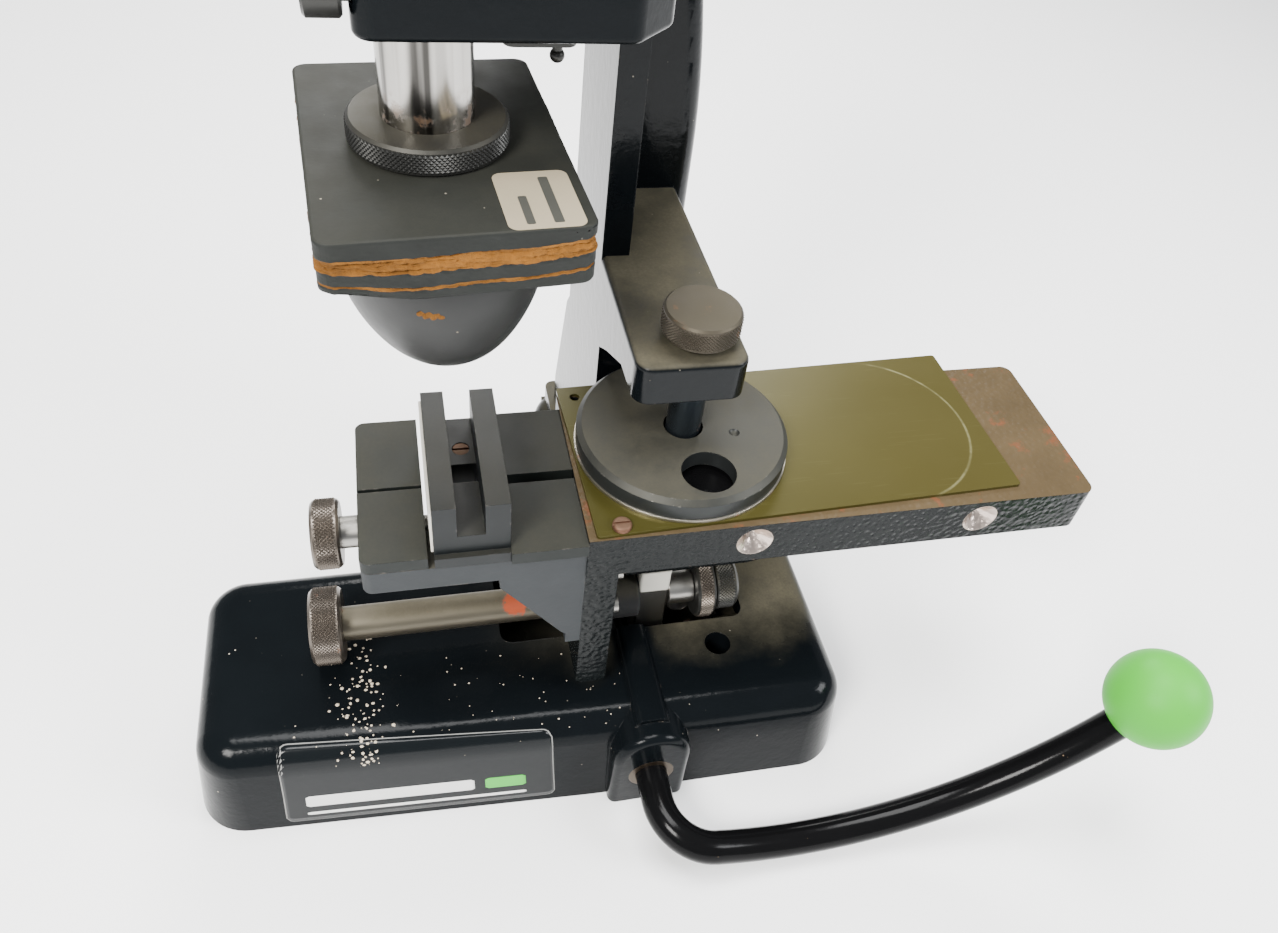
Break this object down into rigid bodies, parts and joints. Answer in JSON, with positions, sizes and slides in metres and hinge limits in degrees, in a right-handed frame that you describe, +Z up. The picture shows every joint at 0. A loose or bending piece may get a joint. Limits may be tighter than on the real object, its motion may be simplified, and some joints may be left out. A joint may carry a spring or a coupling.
{
  "type": "bench pad printing machine",
  "caption": "Hand-lever bench pad printer: sliding carriage with plate, ink cup and part cradle below a vertical ram with a silicone pad.",
  "frame": {"origin": "underside of the base, straight below the axis of the ram", "axes": "+X along the carriage, away from its working stroke (to the operator's right); +Y away from the operator; +Z up"},
  "size_m": [0.4471, 0.3182, 0.46],
  "materials": {
    "black_enamel": "gloss",
    "wrinkle_black": "textured",
    "blue_grey_paint": "satin",
    "steel": "machined",
    "polished_steel": "polished",
    "black_oxide": "satin",
    "rusty_steel": "worn",
    "bronze": "machined",
    "guide_steel": "dull",
    "olive_plate": "satin",
    "aluminium": "machined",
    "green_ball": "satin",
    "white_nylon": "matte",
    "rubber": "matte",
    "fibre_board": "matte",
    "silicone": "satin"
  },
  "bodies": {
    "frame": {"base_casting": "black_enamel", "bottom_cover": "black_enamel", "cover_screws": "steel", "shaft_bushings": "bronze", "rod_block": "steel", "slide_shoe": "white_nylon", "guide_rod": "guide_steel", "guide_rod_knob": "rusty_steel", "rod_spacer": "steel", "stop_disc": "steel", "jam_nut": "black_oxide", "rubber_bumper": "rubber", "column_casting": "black_enamel", "column_bolts": "steel", "rear_cover": "black_enamel", "rear_cover_screws": "steel", "head_casting": "black_enamel", "head_bolts": "steel", "head_cover": "black_enamel", "head_cover_screws": "steel", "ram_bushing": "bronze", "rocker_pin": "steel", "spring_plate": "steel", "return_spring": "steel"},
    "carriage": {"carriage_casting": "wrinkle_black", "slide_bushings": "bronze", "gear_rack": "steel", "rack_screws": "steel", "cliche_plate": "olive_plate", "cliche_screw": "rusty_steel", "fixture_bracket": "blue_grey_paint", "bracket_bolts": "steel", "fixed_jaw_block": "steel", "block_screws": "steel", "fixture_cradle": "aluminium", "cradle_screw": "rusty_steel"},
    "vise_jaw": {"moving_jaw_block": "steel"},
    "vise_screw": {"vise_screw": "steel", "vise_knob": "rusty_steel"},
    "lever": {"lever_rod": "black_enamel", "ball_knob": "green_ball", "sector_gear": "steel", "shaft_collar": "steel", "lift_cam": "steel"},
    "ram": {"ram": "polished_steel", "ram_cross_pin": "steel"},
    "ram_nut": {"ram_nut": "black_oxide"},
    "pad": {"pad_board_upper": "fibre_board", "pad_board_lower": "fibre_board", "pad_socket": "steel", "silicone_pad": "silicone"},
    "rocker": {"rocker_arm": "steel"},
    "pushrod": {"pushrod": "steel"},
    "roller": {"follower_roller": "steel"},
    "ink_pin": {"ink_pin": "polished_steel", "ink_knob": "black_oxide"},
    "ink_cup": {"ink_cup": "black_oxide", "doctor_ring": "steel"},
    "stop_knob": {"stop_knob": "black_oxide"}
  },
  "joints": [
    {"name": "carriage_slide", "type": "slide", "parent": "frame", "child": "carriage", "axis": [-1, 0, 0], "range_m": [0, 0.1]},
    {"name": "lever_turn", "type": "hinge", "parent": "frame", "child": "lever", "pos_m": [0.085, -0.08, 0.025], "axis": [0, -1, 0], "range_deg": [0, 98.9]},
    {"name": "ram_slide", "type": "slide", "parent": "frame", "child": "ram", "axis": [0, 0, -1], "range_m": [0, 0.04], "stiffness_N_per_m": 500, "springref_m": -0.05},
    {"name": "rocker_turn", "type": "hinge", "parent": "frame", "child": "rocker", "pos_m": [0.04346, 0.06112, 0.414], "axis": [0.815, -0.5795, 0], "range_deg": [0, 29.96]},
    {"name": "pushrod_slide", "type": "slide", "parent": "frame", "child": "pushrod", "axis": [0, 0, 1], "range_m": [0, 0.0485], "deforming": ["return_spring"]},
    {"name": "roller_spin", "type": "hinge", "parent": "pushrod", "child": "roller", "pos_m": [0.096, 0.135, 0.0456], "axis": [0, 1, 0], "continuous": true},
    {"name": "nut_turn", "type": "hinge", "parent": "ram", "child": "ram_nut", "pos_m": [0, 0, 0.315], "axis": [0, 0, 1], "continuous": true},
    {"name": "pad_turn", "type": "hinge", "parent": "ram", "child": "pad", "pos_m": [0, 0, 0.303], "axis": [0, 0, 1], "continuous": true},
    {"name": "ink_pin_lift", "type": "slide", "parent": "frame", "child": "ink_pin", "axis": [0, 0, 1], "range_m": [0, 0.012]},
    {"name": "cup_turn", "type": "hinge", "parent": "frame", "child": "ink_cup", "pos_m": [0.1, 0, 0.172], "axis": [0, 0, 1], "continuous": true},
    {"name": "vise_screw_turn", "type": "hinge", "parent": "carriage", "child": "vise_screw", "pos_m": [-0.04, -0.021, 0.153], "axis": [1, 0, 0], "range_deg": [0, 289]},
    {"name": "vise_jaw_slide", "type": "slide", "parent": "carriage", "child": "vise_jaw", "axis": [1, 0, 0], "range_m": [0, 0.001]},
    {"name": "stop_knob_turn", "type": "hinge", "parent": "frame", "child": "stop_knob", "pos_m": [-0.026, -0.0225, 0.365], "axis": [1, 0, 0], "continuous": true}
  ],
  "couplings": [
    {"joint": "lever_turn", "follows": "carriage_slide", "rad_per_m": 17.241},
    {"joint": "rocker_turn", "follows": "ram_slide", "rad_per_m": 13.03},
    {"joint": "pushrod_slide", "follows": "ram_slide", "ratio": 1.2087},
    {"joint": "vise_screw_turn", "follows": "vise_jaw_slide", "rad_per_m": 5026.5}
  ]
}
